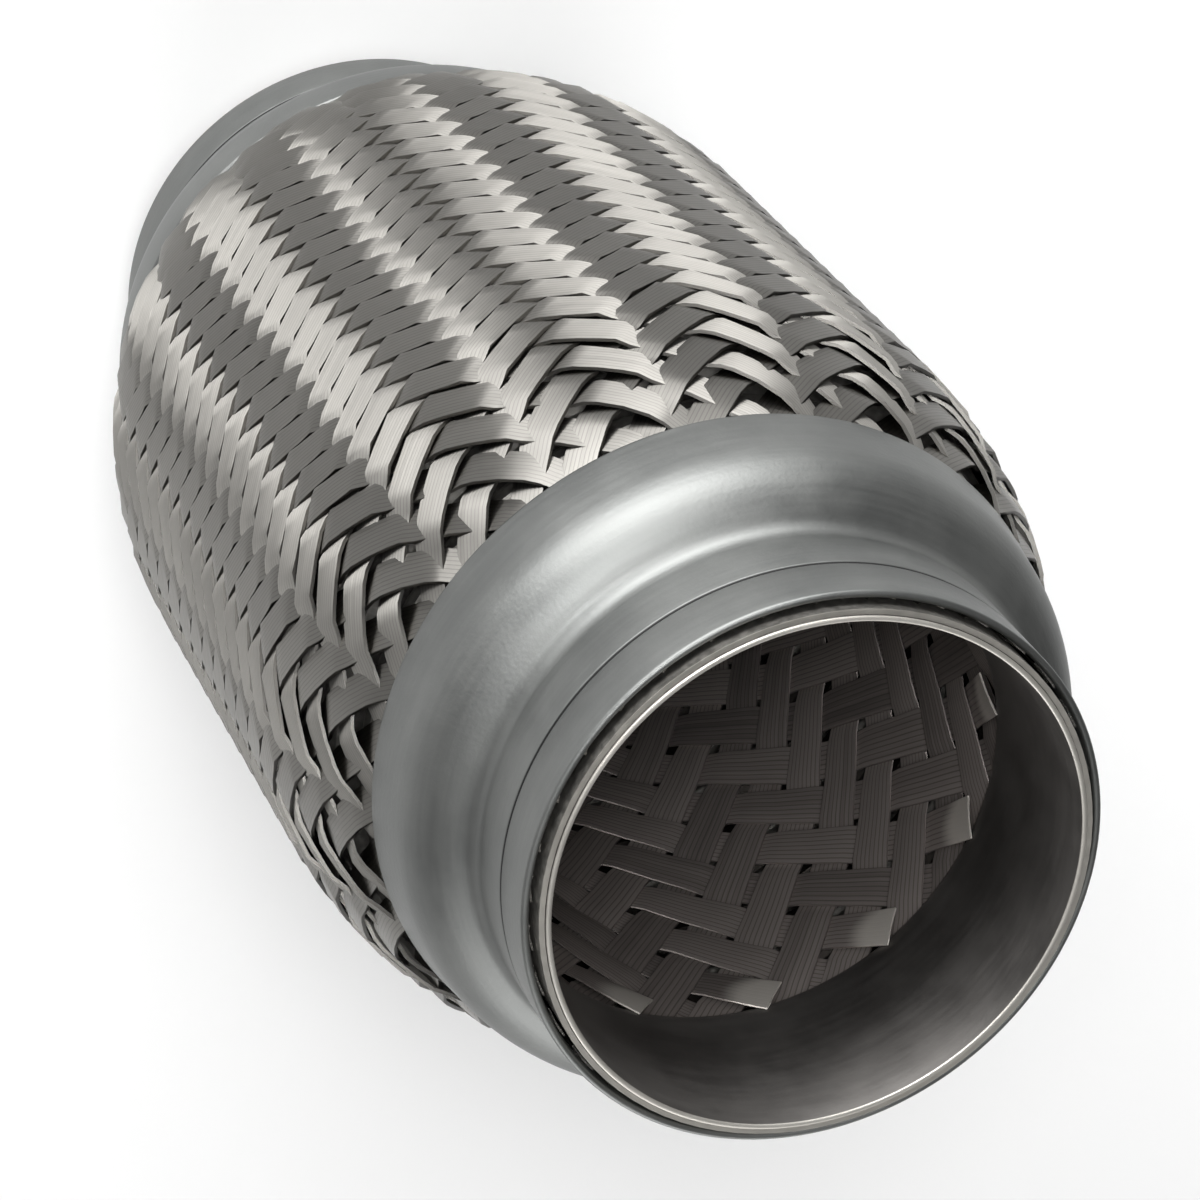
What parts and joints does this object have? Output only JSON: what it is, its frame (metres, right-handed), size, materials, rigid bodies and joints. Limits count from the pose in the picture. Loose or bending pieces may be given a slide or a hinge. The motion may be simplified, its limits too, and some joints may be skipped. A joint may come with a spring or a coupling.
{
  "type": "exhaust flex pipe",
  "caption": "Straight exhaust flex pipe: corrugated bellows between an outer and an inner strip braid, with pressed end caps and smooth end sleeves.",
  "frame": {"origin": "centre of the lower end face, on the pipe's axis", "axes": "+Z along the pipe's axis from the lower end to the upper end"},
  "size_m": [0.0706, 0.0706, 0.132],
  "materials": {
    "outer_braid_steel": "bright drawn wire",
    "bellows_steel": "rolled",
    "inner_braid_steel": "dull drawn wire",
    "cap_steel": "matt pressed",
    "sleeve_steel": "rolled"
  },
  "bodies": {
    "root": {"outer_braid": "outer_braid_steel", "bellows": "bellows_steel", "inner_braid": "inner_braid_steel", "upper_end_cap": "cap_steel", "lower_end_cap": "cap_steel", "upper_inner_sleeve": "sleeve_steel", "lower_inner_sleeve": "sleeve_steel"}
  },
  "joints": []
}
